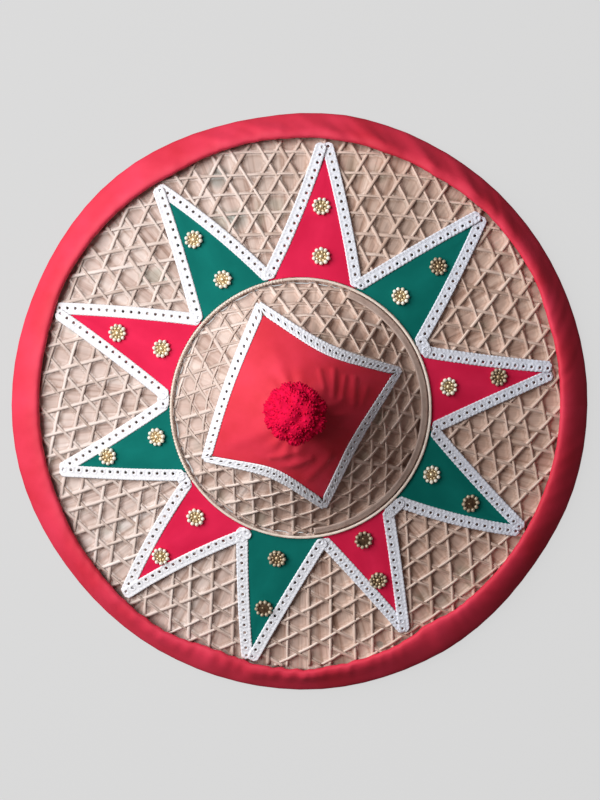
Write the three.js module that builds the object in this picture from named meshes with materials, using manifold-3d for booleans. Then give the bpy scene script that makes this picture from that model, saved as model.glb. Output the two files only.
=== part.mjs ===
// Woven jaapi: bamboo and palm-leaf sun hat with a cloth star, eyelet lace, flowers and a yarn pompom.
// Millimetres, +Z up, standing on the flat underside of its rim.
import * as THREE from 'three';
import * as BufferGeometryUtils from 'three/addons/utils/BufferGeometryUtils.js';
import Module from 'manifold-3d';

const wasm = await Module();
wasm.setup();

const clearance = 0.3;
const degree = Math.PI / 180;
const fullTurn = 2 * Math.PI;

// Plaited walls: two open lattices of split cane with palm leaf between them
const wallThickness = 3;
const crownFootRadius = 97.5;
const brimHoleRadius = 98;
const brimEdgeRadius = 214;
const brimFootHeight = 47.3;
const brimSlope = 0.259;
const brimSides = 72;
const crownSides = 48;

// Crown, from its foot to its rounded tip
const crownRows = [
  { radius: 97.5, height: 47.3 },
  { radius: 93, height: 50.1 },
  { radius: 86, height: 55.6 },
  { radius: 76, height: 65.1 },
  { radius: 62, height: 78.8 },
  { radius: 48, height: 92.4 },
  { radius: 36, height: 103.5 },
  { radius: 27, height: 111.4 },
  { radius: 19, height: 117.3 },
  { radius: 12, height: 121.2 },
  { radius: 6, height: 123.4 },
  { radius: 0, height: 124 },
];
const crownInsideRadii = [12, 27, 48, 76, 93];

// Split-cane hoop over the joint of crown and brim
const hoopSides = 48;
const hoopSection = [
  { radius: 100.3, height: 46.9 },
  { radius: 100.3, height: 49.5 },
  { radius: 99.3, height: 50.5 },
  { radius: 97.3, height: 50.5 },
  { radius: 96.3, height: 48.5 },
  { radius: 97.7, height: 47.7 },
];

// Cloth wound over the turned-down edge. fold: how far a fold of the cloth lifts this part of it
const bindingSides = 84;
const bindingInnerRadius = 204.8;
const bindingOuterRadius = 229.6;
const bindingSection = [
  { part: 'inner lip', radius: bindingInnerRadius, height: 19.9, fold: 0.4 },
  { part: 'crest, inside', radius: 206.8, height: 23.4, fold: 1 },
  { part: 'crest', radius: 210.4, height: 25.2, fold: 1 },
  { part: 'crest, outside', radius: 214.8, height: 23.5, fold: 1 },
  { part: 'slope', radius: 221, height: 16.2, fold: 0.8 },
  { part: 'lower slope', radius: 226.2, height: 9.4, fold: 0.5 },
  { part: 'widest', radius: bindingOuterRadius, height: 4.4, fold: 0 },
  { part: 'underside, outside', radius: 228, height: 0, fold: 0 },
  { part: 'underside, inside', radius: 222, height: 0, fold: 0 },
  { part: 'inner wall, high', radius: 213, height: 10, fold: 0 },
  { part: 'lower lip', radius: 205.4, height: 13.2, fold: 0 },
  { part: 'slot, mouth', radius: 204.6, height: 15.9, fold: 0 },
  { part: 'slot, bottom', radius: 214.4, height: 13.4, fold: 0 },
  { part: 'slot, top', radius: 214.4, height: 17.4, fold: 0 },
];
const unevenFromRadius = 216;
const unevenRim = [
  { angle: 0, outward: -0.6 },
  { angle: 22, outward: -1.2 },
  { angle: 55, outward: -0.4 },
  { angle: 80, outward: 1 },
  { angle: 101, outward: -1.3 },
  { angle: 129, outward: 1.6 },
  { angle: 158, outward: -1.2 },
  { angle: 190, outward: 0.4 },
  { angle: 218, outward: -1.9 },
  { angle: 243, outward: -0.8 },
  { angle: 277, outward: 1.4 },
  { angle: 301, outward: 0.8 },
  { angle: 326, outward: -1.8 },
  { angle: 345, outward: -0.4 },
];
const clothFolds = [
  { angle: 52, width: 4, raise: 0.9, twist: 6 },
  { angle: 63, width: 4, raise: 1.1, twist: 7 },
  { angle: 76, width: 5, raise: 1.2, twist: 8 },
  { angle: 90, width: 4, raise: 0.9, twist: 7 },
  { angle: 251, width: 6, raise: 1.4, twist: 0 },
  { angle: 301, width: 5, raise: 1.6, twist: 0 },
];

// Cloth star on the brim, red and green by turns, clockwise from the red point nearest +Y.
// Feet and tip lie on the middle of the lace. A bow pushes that side outward, and a stand keeps
// its end that far outside the tip
const clothThickness = 1;
const clothLift = 0.35;
const laceWidth = 9.2;
const laceFootRadius = 105;
const clothFootRadius = 101;
const starSteps = [0, 0.22, 0.44, 0.66, 0.83, 0.92, 1];
const closedFromStep = 0.92;
const clothColumns = 4;
const clothTipBack = 2.8;
const leastOpening = 2;
const starPoints = [
  {
    tip: { angle: 85.2, radius: 201.4 },
    start: { angle: 66.5, bow: 0.9, stand: 3.6 },
    end: { angle: 103, bow: -1.5, stand: 0.9 },
  },
  {
    tip: { angle: 46.9, radius: 201 },
    start: { angle: 29.7, bow: 1.4, stand: 3.2 },
    end: { angle: 64.4, bow: 0.8, stand: 0.6 },
  },
  {
    tip: { angle: 8.1, radius: 196 },
    start: { angle: -7.4, bow: -0.4, stand: 3.2 },
    end: { angle: 24.3, bow: -1, stand: 3.2 },
  },
  {
    tip: { angle: -29.4, radius: 197 },
    start: { angle: -43.3, bow: 2.6, stand: 1.7 },
    end: { angle: -10.3, bow: -1, stand: 2.6 },
  },
  {
    tip: { angle: -65.2, radius: 195 },
    start: { angle: -79.8, bow: -1.4, stand: 0.6 },
    end: { angle: -50.2, bow: 0.9, stand: 0.2 },
  },
  {
    tip: { angle: 258.8, radius: 202 },
    start: { angle: 244.6, bow: 1.1, stand: 2.8 },
    end: { angle: 278.7, bow: -0.7, stand: 1.6 },
  },
  {
    tip: { angle: 226.8, radius: 202 },
    start: { angle: 213.4, bow: 2.6, stand: 0 },
    end: { angle: 246.3, bow: -2.2, stand: 1.6 },
  },
  {
    tip: { angle: 194.6, radius: 193 },
    start: { angle: 178.4, bow: -1, stand: 0 },
    end: { angle: 209.1, bow: 0.8, stand: 1.4 },
  },
  {
    tip: { angle: 159.3, radius: 200.8 },
    start: { angle: 139.6, bow: 0.6, stand: 4.2 },
    end: { angle: 173.8, bow: -1, stand: -0.8 },
  },
  {
    tip: { angle: 123.2, radius: 201 },
    start: { angle: 104.8, bow: 2, stand: 1.2 },
    end: { angle: 138.6, bow: -0.9, stand: 0 },
  },
];

// Flowers, two on each star point in the same order
const flowerBeads = 10;
const flowerRows = [
  { part: 'underside', radius: 6.4, beadRadius: 7.3, height: 0, beadHeight: 0 },
  { part: 'beads', radius: 5.5, beadRadius: 6.1, height: 1.2, beadHeight: 2.1 },
  { part: 'petals', radius: 3.6, beadRadius: 3.6, height: 1.5, beadHeight: 1.1 },
];
const flowerStoneHeight = 3;
const flowers = [
  { innerAngle: 82.4, innerRadius: 116.6, outerAngle: 84.2, outerRadius: 154.8 },
  { innerAngle: 48.5, innerRadius: 113.9, outerAngle: 45.8, outerRadius: 151.1 },
  { innerAngle: 8.4, innerRadius: 113.8, outerAngle: 8.8, outerRadius: 154.3 },
  { innerAngle: -26.9, innerRadius: 112.2, outerAngle: -29.5, outerRadius: 151 },
  { innerAngle: -64.6, innerRadius: 112, outerAngle: -65.9, outerRadius: 147.3 },
  { innerAngle: 261, innerRadius: 117.1, outerAngle: 259.6, outerRadius: 159.7 },
  { innerAngle: 226, innerRadius: 116.2, outerAngle: 226.8, outerRadius: 159 },
  { innerAngle: 191.1, innerRadius: 112.2, outerAngle: 194.1, outerRadius: 153.8 },
  { innerAngle: 156.7, innerRadius: 115.3, outerAngle: 157.7, outerRadius: 151.9 },
  { innerAngle: 121.1, innerRadius: 114.6, outerAngle: 122.4, outerRadius: 152.5 },
];

// Square of cloth over the crown. A bow draws the side that starts at this corner inward
const patchLift = 0.8;
const patchCentre = { x: -2.7, y: -1.5 };
const patchCorners = [
  { angle: 111.5, clothRadius: 76.5, laceRadius: 88.5, bow: -2 },
  { angle: 207, clothRadius: 74.5, laceRadius: 84.5, bow: 11 },
  { angle: 283.5, clothRadius: 66.5, laceRadius: 77.5, bow: 10 },
  { angle: 22, clothRadius: 73, laceRadius: 83, bow: 5 },
];
const patchStepsPerSide = 7;
const patchRings = [0.13, 0.28, 0.46, 0.7, 1];

// Yarn pompom, its locks standing out from a round head over the tip of the crown
const pompomCentre = { x: -5, y: 4, z: 136.5 };
const pompomSeatRadius = 76;
const pompomHeadRadius = 16;
const pompomHeadHeight = 14.5;
const pompomHeadSides = 12;
const lockRadius = 7.2;
const lockSides = 6;
const lockTiers = 4;
const lockStretch = 1.15;
const pompomTiers = [
  { rise: 86, locks: 1, reach: 12.5, turn: 0 },
  { rise: 48, locks: 5, reach: 13, turn: 20 },
  { rise: 10, locks: 7, reach: 14.2, turn: 0 },
  { rise: -26, locks: 7, reach: 13.4, turn: 25 },
];

const bamboo = new THREE.MeshStandardMaterial({ color: '#d9c6b4', roughness: 0.7, metalness: 0 });
const cane = new THREE.MeshStandardMaterial({ color: '#d2b48f', roughness: 0.6, metalness: 0 });
const redCloth = new THREE.MeshStandardMaterial({ color: '#e0324f', roughness: 0.85, metalness: 0 });
const greenCloth = new THREE.MeshStandardMaterial({ color: '#0f7f70', roughness: 0.85, metalness: 0 });
const whiteLace = new THREE.MeshStandardMaterial({ color: '#eef0f4', roughness: 0.9, metalness: 0 });
const goldFlower = new THREE.MeshStandardMaterial({ color: '#c9a25e', roughness: 0.35, metalness: 0.8 });
const crimsonYarn = new THREE.MeshStandardMaterial({ color: '#d8103c', roughness: 0.95, metalness: 0 });

const hat = new THREE.Group();

function addPiece(name, geometry, material) {
  const mesh = new THREE.Mesh(geometry, material);
  mesh.name = name;
  hat.add(mesh);
}

function fromPolar(angle, radius) {
  return { x: radius * Math.cos(angle * degree), y: radius * Math.sin(angle * degree) };
}

function smoothStep(value) {
  const t = Math.min(1, Math.max(0, value));
  return t * t * (3 - 2 * t);
}

function brimHeight(radius) {
  return brimFootHeight - (radius - crownFootRadius) * brimSlope;
}

// Height of the crown's outside, on a smooth curve through its rows
function crownHeight(radius) {
  const rows = crownRows;
  const slopes = rows.map((row, i) => {
    const before = rows[Math.max(0, i - 1)];
    const after = rows[Math.min(rows.length - 1, i + 1)];
    return i === rows.length - 1 ? 0 : (after.height - before.height) / (after.radius - before.radius);
  });
  let i = 0;
  while (i < rows.length - 2 && radius < rows[i + 1].radius) {
    i += 1;
  }
  const from = rows[i];
  const to = rows[i + 1];
  const span = to.radius - from.radius;
  const t = (radius - from.radius) / span;
  const ease = smoothStep(t);
  const leave = t * (1 - t) * (1 - t) * span * slopes[i];
  const arrive = t * t * (t - 1) * span * slopes[i + 1];
  return from.height * (1 - ease) + to.height * ease + leave + arrive;
}

// The point that stands a given distance out from the brim or the crown, over a place in plan
function pointOver(surface, place, distance) {
  const radius = Math.hypot(place.x, place.y);
  const height = surface(radius);
  if (radius < 0.01) {
    return new THREE.Vector3(place.x, place.y, height + distance);
  }
  const step = 0.05;
  const slope = (surface(radius + step) - surface(radius)) / step;
  const length = Math.hypot(1, slope);
  const moved = radius - (distance * slope) / length;
  const scale = moved / radius;
  return new THREE.Vector3(place.x * scale, place.y * scale, height + distance / length);
}

function geometryFrom(points, faces) {
  const geometry = new THREE.BufferGeometry();
  const position = new Float32Array(points.flatMap((point) => [point.x, point.y, point.z]));
  geometry.setAttribute('position', new THREE.BufferAttribute(position, 3));
  geometry.setIndex(faces.flat());
  return geometry;
}

// Closed mesh with shared corners, its faces turned outward
function closed(geometry) {
  const bare = geometry.clone();
  bare.deleteAttribute('normal');
  bare.deleteAttribute('uv');
  const merged = BufferGeometryUtils.mergeVertices(bare, 1e-4);
  const position = merged.getAttribute('position');
  const faces = [];
  let volume = 0;
  for (let i = 0; i < merged.index.count; i += 3) {
    const face = [merged.index.getX(i), merged.index.getX(i + 1), merged.index.getX(i + 2)];
    if (face[0] === face[1] || face[1] === face[2] || face[2] === face[0]) {
      continue;
    }
    const [a, b, c] = face.map((k) => new THREE.Vector3().fromBufferAttribute(position, k));
    volume += a.dot(b.cross(c));
    faces.push(face);
  }
  if (volume < 0) {
    faces.forEach((face) => face.reverse());
  }
  merged.setIndex(faces.flat());
  return merged;
}

function turned(profile, sides) {
  const outline = profile.map((row) => new THREE.Vector2(row.radius, row.height));
  const geometry = new THREE.LatheGeometry(outline, sides);
  geometry.rotateX(90 * degree);
  return closed(geometry);
}

// Ring whose section may change on its way round
function ringOf(section, sides, reshape) {
  const points = [];
  const faces = [];
  for (let i = 0; i < sides; i += 1) {
    const angle = (360 * i) / sides;
    section.forEach((row) => {
      const { radius, height } = reshape(row, angle);
      points.push(new THREE.Vector3(...Object.values(fromPolar(angle, radius)), height));
    });
  }
  const count = section.length;
  for (let i = 0; i < sides; i += 1) {
    const next = (i + 1) % sides;
    for (let j = 0; j < count; j += 1) {
      const up = (j + 1) % count;
      faces.push([i * count + j, next * count + j, next * count + up]);
      faces.push([i * count + j, next * count + up, i * count + up]);
    }
  }
  return closed(geometryFrom(points, faces));
}

// Sheet of cloth or lace of even thickness that lies on a surface. quads join places given in plan
function laidSheet(surface, givenPlaces, quads, lift, thickness) {
  const key = (place) => `${place.x.toFixed(3)} ${place.y.toFixed(3)}`;
  const keys = [...new Set(givenPlaces.map(key))];
  const places = keys.map((name) => givenPlaces.find((place) => key(place) === name));
  const shared = givenPlaces.map((place) => keys.indexOf(key(place)));
  const under = places.map((place) => pointOver(surface, place, lift));
  const over = places.map((place) => pointOver(surface, place, lift + thickness));
  const count = places.length;
  const top = quads.map((quad) => quad.map((i) => shared[i]))
    .flatMap(([a, b, c, d]) => [[a, b, c], [a, c, d]])
    .filter(([a, b, c]) => a !== b && b !== c && c !== a);
  const used = new Set(top.flatMap(([a, b, c]) => [`${a} ${b}`, `${b} ${c}`, `${c} ${a}`]));
  const faces = [];
  top.forEach(([a, b, c]) => {
    faces.push([a + count, b + count, c + count]);
    faces.push([c, b, a]);
    [[a, b], [b, c], [c, a]].forEach(([from, to]) => {
      if (!used.has(`${to} ${from}`)) {
        faces.push([from, to, to + count]);
        faces.push([from, to + count, from + count]);
      }
    });
  });
  return closed(geometryFrom([...under, ...over], faces));
}

function toManifold(geometry) {
  const position = geometry.getAttribute('position');
  return new wasm.Manifold(new wasm.Mesh({
    numProp: 3,
    vertProperties: new Float32Array(position.array),
    triVerts: new Uint32Array(geometry.index.array),
  }));
}

function fromManifold(solid) {
  const mesh = solid.getMesh();
  const geometry = new THREE.BufferGeometry();
  geometry.setAttribute('position', new THREE.BufferAttribute(new Float32Array(mesh.vertProperties), 3));
  geometry.setIndex(Array.from(mesh.triVerts));
  return closed(geometry);
}

// Brim and crown
addPiece('brim', turned([
  { radius: brimHoleRadius, height: brimHeight(brimHoleRadius) },
  { radius: brimEdgeRadius, height: brimHeight(brimEdgeRadius) },
  { radius: brimEdgeRadius, height: brimHeight(brimEdgeRadius) - wallThickness },
  { radius: brimHoleRadius, height: brimHeight(brimHoleRadius) - wallThickness },
  { radius: brimHoleRadius, height: brimHeight(brimHoleRadius) },
], brimSides), bamboo);

const crownInside = crownInsideRadii.map((radius) => {
  const point = pointOver(crownHeight, { x: radius, y: 0 }, -wallThickness);
  return { radius: point.x, height: point.z };
});
addPiece('crown', turned([
  { radius: 0, height: crownHeight(0) - wallThickness },
  ...crownInside,
  { radius: crownFootRadius - wallThickness, height: brimFootHeight - wallThickness },
  { radius: crownFootRadius, height: brimFootHeight - wallThickness },
  ...crownRows,
], crownSides), bamboo);

addPiece('crown_ring', ringOf(hoopSection, hoopSides, (row) => row), cane);

// Rim binding
function outwardAt(angle) {
  const rows = unevenRim;
  const i = rows.findLastIndex((row) => row.angle <= angle);
  const from = rows[i];
  const to = rows[(i + 1) % rows.length];
  const span = (to.angle - from.angle + 360) % 360;
  return from.outward + (to.outward - from.outward) * smoothStep((angle - from.angle) / span);
}

function foldAt(angle, radius) {
  const along = (radius - bindingInnerRadius) / (bindingOuterRadius - bindingInnerRadius);
  return clothFolds.reduce((raise, fold) => {
    const off = angle - fold.angle - fold.twist * along;
    return raise + fold.raise * Math.exp(-((off / fold.width) ** 2) * 2);
  }, 0);
}

addPiece('rim_binding', ringOf(bindingSection, bindingSides, (row, angle) => {
  const reach = (row.radius - unevenFromRadius) / (bindingOuterRadius - unevenFromRadius);
  const wave = outwardAt(angle) * smoothStep(reach);
  const raise = row.fold * foldAt(angle, row.radius);
  const inward = row.part === 'inner lip' || row.part === 'crest, inside' ? raise : 0;
  const lift = row.part === 'inner lip' ? 0 : raise;
  return { radius: row.radius + wave - inward, height: row.height + lift };
}), redCloth);

// Middle of a lace on its way from the foot of a star point to its tip
function laceMiddle(foot, tip, bow, stand, side, t) {
  const along = new THREE.Vector2(tip.x - foot.x, tip.y - foot.y);
  const bulge = side * (bow * 4 * t * (1 - t) + stand * t);
  const across = new THREE.Vector2(-along.y, along.x).normalize().multiplyScalar(bulge);
  return { x: foot.x + along.x * t + across.x, y: foot.y + along.y * t + across.y };
}

function angleBetween(from, to) {
  return ((to - from + 540) % 360) - 180;
}

// Rows across a star point, each with the edges of its two laces and of the cloth between them.
// Neighbouring laces meet in the valley halfway between their feet and are gathered in there
function starPointRows(point, before, after) {
  const tip = fromPolar(point.tip.angle, point.tip.radius);
  const axis = new THREE.Vector2(tip.x, tip.y).normalize();
  const acrossAxis = new THREE.Vector2(-axis.y, axis.x);
  const sides = [
    { side: -1, foot: fromPolar(point.start.angle, laceFootRadius), ...point.start },
    { side: 1, foot: fromPolar(point.end.angle, laceFootRadius), ...point.end },
  ];
  const halfGap = (clearance / 2 / laceFootRadius) / degree;
  const startValley = angleBetween(after.end.angle, point.start.angle) / 2;
  const endValley = angleBetween(point.end.angle, before.start.angle) / 2;
  const startRoom = angleBetween(point.start.angle, point.tip.angle) + startValley;
  const endRoom = angleBetween(point.tip.angle, point.end.angle) + endValley;
  const gathered = (along, off, side) => {
    const room = (side < 0 ? startRoom : endRoom) - halfGap;
    return Math.min(off, along * Math.tan(room * degree));
  };
  const placeAt = (along, off) => ({
    x: axis.x * along + acrossAxis.x * off,
    y: axis.y * along + acrossAxis.y * off,
  });
  return starSteps.map((t) => {
    const edges = sides.map(({ side, foot, bow, stand }) => {
      const middle = laceMiddle(foot, tip, bow, stand, side, t);
      const ahead = laceMiddle(foot, tip, bow, stand, side, t + 0.01);
      const run = new THREE.Vector2(ahead.x - middle.x, ahead.y - middle.y).normalize();
      const edge = (distance) => {
        const away = side * distance;
        const place = new THREE.Vector2(middle.x - run.y * away, middle.y + run.x * away);
        return { along: place.dot(axis), off: side * place.dot(acrossAxis) };
      };
      const outer = edge(laceWidth / 2);
      const inner = edge(-laceWidth / 2);
      return { side, outer, inner, cloth: edge(-laceWidth / 2 - clearance) };
    });
    const opening = edges[0].inner.off + edges[1].inner.off;
    const closes = t >= closedFromStep || opening < leastOpening;
    const seam = (edges[0].inner.along + edges[1].inner.along) / 2;
    const seamOff = (edges[1].inner.off - edges[0].inner.off) / 2;
    return edges.map(({ side, outer, inner, cloth }) => ({
      closes,
      outer: placeAt(outer.along, side * gathered(outer.along, outer.off, side)),
      inner: closes ? placeAt(seam, seamOff) : placeAt(inner.along, side * inner.off),
      clothEdge: placeAt(cloth.along, side * cloth.off),
      clothTip: placeAt(seam - clothTipBack, seamOff),
    }));
  });
}

starPoints.forEach((point, index) => {
  const number = String(index + 1).padStart(2, '0');
  const before = starPoints[(index + starPoints.length - 1) % starPoints.length];
  const after = starPoints[(index + 1) % starPoints.length];
  const rows = starPointRows(point, before, after);

  // Lace: two strips that share their inner edge where they close at the tip
  const lacePlaces = rows.flatMap(([start, end]) => [start.outer, start.inner, end.inner, end.outer]);
  const laceQuads = [];
  for (let k = 0; k < starSteps.length - 1; k += 1) {
    const a = 4 * k;
    const b = a + 4;
    laceQuads.push([a, b, b + 1, a + 1]);
    laceQuads.push([a + 2, b + 2, b + 3, a + 3]);
  }
  const lace = laidSheet(brimHeight, lacePlaces, laceQuads, clothLift, clothThickness);
  addPiece(`star_lace_${number}`, lace, whiteLace);

  // Cloth between the strips, its foot round the hoop
  const clothRows = rows.filter(([start]) => !start.closes);
  const firstClosed = rows.find(([start]) => start.closes);
  const clothPlaces = clothRows.flatMap(([start, end]) => Array.from({ length: clothColumns + 1 }, (_, j) => {
    const t = j / clothColumns;
    const x = start.clothEdge.x * (1 - t) + end.clothEdge.x * t;
    const y = start.clothEdge.y * (1 - t) + end.clothEdge.y * t;
    const out = Math.max(1, clothFootRadius / Math.hypot(x, y));
    return { x: x * out, y: y * out };
  }));
  clothPlaces.push(...Array(clothColumns + 1).fill(firstClosed[0].clothTip));
  const clothQuads = [];
  for (let k = 0; k < clothRows.length; k += 1) {
    for (let j = 0; j < clothColumns; j += 1) {
      const a = k * (clothColumns + 1) + j;
      const b = a + clothColumns + 1;
      clothQuads.push([a, b, b + 1, a + 1]);
    }
  }
  const cloth = laidSheet(brimHeight, clothPlaces, clothQuads, clothLift, clothThickness);
  const colour = index % 2 === 0 ? 'red' : 'green';
  addPiece(`star_${colour}_${number}`, cloth, colour === 'red' ? redCloth : greenCloth);
});

// Flowers
function flowerGeometry() {
  const steps = 2 * flowerBeads;
  const points = [new THREE.Vector3(0, 0, 0)];
  flowerRows.forEach((row) => {
    for (let i = 0; i < steps; i += 1) {
      const onBead = i % 2 === 0;
      const place = fromPolar((360 * i) / steps, onBead ? row.beadRadius : row.radius);
      points.push(new THREE.Vector3(place.x, place.y, onBead ? row.beadHeight : row.height));
    }
  });
  points.push(new THREE.Vector3(0, 0, flowerStoneHeight));
  const last = points.length - 1;
  const faces = [];
  for (let i = 0; i < steps; i += 1) {
    const next = (i + 1) % steps;
    faces.push([0, 1 + next, 1 + i]);
    for (let row = 0; row < flowerRows.length - 1; row += 1) {
      const low = 1 + row * steps;
      const high = low + steps;
      faces.push([low + i, low + next, high + next]);
      faces.push([low + i, high + next, high + i]);
    }
    const top = 1 + (flowerRows.length - 1) * steps;
    faces.push([top + i, top + next, last]);
  }
  return geometryFrom(points, faces);
}

function placedFlower(angle, radius) {
  const geometry = flowerGeometry();
  geometry.rotateY(Math.atan(brimSlope));
  geometry.rotateZ(angle * degree);
  const seat = pointOver(brimHeight, fromPolar(angle, radius), clothLift + clothThickness + clearance);
  geometry.translate(seat.x, seat.y, seat.z);
  return closed(geometry);
}

flowers.forEach((row, index) => {
  const number = String(index + 1).padStart(2, '0');
  addPiece(`flower_inner_${number}`, placedFlower(row.innerAngle, row.innerRadius), goldFlower);
  addPiece(`flower_outer_${number}`, placedFlower(row.outerAngle, row.outerRadius), goldFlower);
});

// Crown patch and its lace
function patchEdge(column, gap) {
  return patchCorners.flatMap((corner, i) => {
    const next = patchCorners[(i + 1) % patchCorners.length];
    const from = fromPolar(corner.angle, corner[column] + gap);
    const to = fromPolar(next.angle, next[column] + gap);
    return Array.from({ length: patchStepsPerSide }, (_, k) => {
      const t = k / patchStepsPerSide;
      const x = from.x * (1 - t) + to.x * t;
      const y = from.y * (1 - t) + to.y * t;
      const out = new THREE.Vector2(x, y).normalize().multiplyScalar(-corner.bow * 4 * t * (1 - t));
      return { x: x + out.x, y: y + out.y };
    });
  });
}

const patchOutline = patchEdge('clothRadius', 0);
const patchPlaces = [patchCentre, ...patchRings.flatMap((ring) => patchOutline.map((place) => ({
  x: patchCentre.x + (place.x - patchCentre.x) * ring,
  y: patchCentre.y + (place.y - patchCentre.y) * ring,
})))];
const patchQuads = [];
const patchSteps = patchOutline.length;
for (let i = 0; i < patchSteps; i += 1) {
  const next = (i + 1) % patchSteps;
  patchQuads.push([0, 1 + i, 1 + next, 1 + next]);
  for (let ring = 0; ring < patchRings.length - 1; ring += 1) {
    const a = 1 + ring * patchSteps;
    const b = a + patchSteps;
    patchQuads.push([a + i, b + i, b + next, a + next]);
  }
}
addPiece('crown_patch', laidSheet(crownHeight, patchPlaces, patchQuads, patchLift, clothThickness), redCloth);

const borderPlaces = [...patchEdge('clothRadius', 2 * clearance), ...patchEdge('laceRadius', 0)];
const borderQuads = patchOutline.map((_, i) => {
  const next = (i + 1) % patchSteps;
  return [i, patchSteps + i, patchSteps + next, next];
});
const border = laidSheet(crownHeight, borderPlaces, borderQuads, patchLift, clothThickness);
addPiece('patch_lace', border, whiteLace);

// Pompom: locks joined to the head, hollowed underneath to sit on the patch
const head = new THREE.SphereGeometry(pompomHeadRadius, pompomHeadSides, pompomHeadSides / 2);
head.rotateX(90 * degree);
head.scale(1, 1, pompomHeadHeight / pompomHeadRadius);
let pompom = toManifold(closed(head));
pompomTiers.forEach((tier) => {
  for (let i = 0; i < tier.locks; i += 1) {
    const lock = new THREE.SphereGeometry(lockRadius, lockSides, lockTiers);
    lock.rotateX(90 * degree);
    lock.scale(1, 1, lockStretch);
    lock.translate(0, 0, tier.reach);
    lock.rotateY((90 - tier.rise) * degree);
    lock.rotateZ((tier.turn * degree) + (fullTurn * i) / tier.locks);
    pompom = pompom.add(toManifold(closed(lock)));
  }
});
pompom = pompom.translate([pompomCentre.x, pompomCentre.y, pompomCentre.z]);
const seatRise = patchLift + clothThickness + clearance;
const seat = turned([
  { radius: 0, height: 0 },
  { radius: pompomSeatRadius, height: 0 },
  ...crownRows.filter((row) => row.radius <= pompomSeatRadius).map((row) => {
    const point = pointOver(crownHeight, { x: row.radius, y: 0 }, seatRise + clearance);
    return { radius: row.radius === 0 ? 0 : point.x, height: point.z };
  }),
], crownSides);
addPiece('pompom', fromManifold(pompom.subtract(toManifold(seat))), crimsonYarn);

// Plan centre of the whole hat on the origin
const box = new THREE.Box3().setFromObject(hat);
const centre = box.getCenter(new THREE.Vector3());
hat.children.forEach((mesh) => mesh.geometry.translate(-centre.x, -centre.y, -box.min.z));

export default hat;
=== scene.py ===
import bisect
import math
import random

import bmesh
import bpy
from mathutils import Matrix, Quaternion, Vector, noise
from mathutils.bvhtree import BVHTree


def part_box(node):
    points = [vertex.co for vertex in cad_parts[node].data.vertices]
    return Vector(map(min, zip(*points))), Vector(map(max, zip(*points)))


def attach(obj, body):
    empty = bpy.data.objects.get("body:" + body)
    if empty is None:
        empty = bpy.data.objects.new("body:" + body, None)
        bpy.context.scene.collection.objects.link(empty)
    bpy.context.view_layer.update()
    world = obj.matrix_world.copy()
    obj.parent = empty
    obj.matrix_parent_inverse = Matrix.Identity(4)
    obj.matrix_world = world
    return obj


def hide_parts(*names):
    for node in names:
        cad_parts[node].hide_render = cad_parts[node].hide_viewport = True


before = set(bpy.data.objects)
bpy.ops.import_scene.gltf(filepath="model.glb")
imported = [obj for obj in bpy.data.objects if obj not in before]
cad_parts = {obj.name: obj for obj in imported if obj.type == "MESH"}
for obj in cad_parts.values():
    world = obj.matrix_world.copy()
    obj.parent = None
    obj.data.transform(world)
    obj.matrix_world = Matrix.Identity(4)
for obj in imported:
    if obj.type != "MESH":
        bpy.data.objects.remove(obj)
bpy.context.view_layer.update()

# The hat lies on its rim on a pale table and is seen from straight above, the camera leaning
# a few degrees toward the back. One wide soft lamp stands to its left, low over the table.
MM = 0.001
brim_low, brim_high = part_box("brim")
hat_axis = Vector(((brim_low[0] + brim_high[0]) / 2, (brim_low[1] + brim_high[1]) / 2, 0))

CAMERA_DISTANCE = 1100 * MM
CAMERA_LEAN_BACK = math.radians(4.04)
CAMERA_LEAN_LEFT = math.radians(0.48)
CAMERA_AIM_HEIGHT = 3 * MM
CAMERA_LENS = 62.15
CAMERA_SHIFT = (-0.0005, 0.0059)
LAMP_TURN = math.radians(156)
LAMP_RISE = math.radians(42)
LAMP_DISTANCE = 2.4
LAMP_SIZE = 2.1
LAMP_WATTS = 86
TABLE_SIDE = 30.0


def from_polar(angle, radius, height=0.0):
    return Vector((radius * math.cos(angle), radius * math.sin(angle), height))


# A material with its constants on the shader's own sockets
def new_finish(name, **constants):
    finish = bpy.data.materials.new(name)
    finish.use_nodes = True
    shader = finish.node_tree.nodes["Principled BSDF"]
    for socket, value in constants.items():
        shader.inputs[socket.replace("_", " ")].default_value = value
    return finish, shader


def place_camera():
    back = Vector((-math.tan(CAMERA_LEAN_LEFT), math.tan(CAMERA_LEAN_BACK), 1)).normalized()
    right = Vector((0, 1, 0)).cross(back).normalized()
    up = back.cross(right)
    data = bpy.data.cameras.new("camera")
    data.lens = CAMERA_LENS
    data.shift_x, data.shift_y = CAMERA_SHIFT
    data.clip_end = 50
    camera = bpy.data.objects.new("camera", data)
    bpy.context.scene.collection.objects.link(camera)
    spot = hat_axis + Vector((0, 0, CAMERA_AIM_HEIGHT)) + back * CAMERA_DISTANCE
    for row in range(3):
        camera.matrix_world[row] = (right[row], up[row], back[row], spot[row])
    bpy.context.scene.camera = camera


def place_lamp():
    toward = from_polar(LAMP_TURN, math.cos(LAMP_RISE), math.sin(LAMP_RISE))
    data = bpy.data.lights.new("window_lamp", "AREA")
    data.shape = "SQUARE"
    data.size = LAMP_SIZE
    data.energy = LAMP_WATTS
    lamp = bpy.data.objects.new("window_lamp", data)
    lamp.location = hat_axis + toward * LAMP_DISTANCE
    lamp.rotation_euler = toward.to_track_quat("Z", "Y").to_euler()
    bpy.context.scene.collection.objects.link(lamp)


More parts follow.
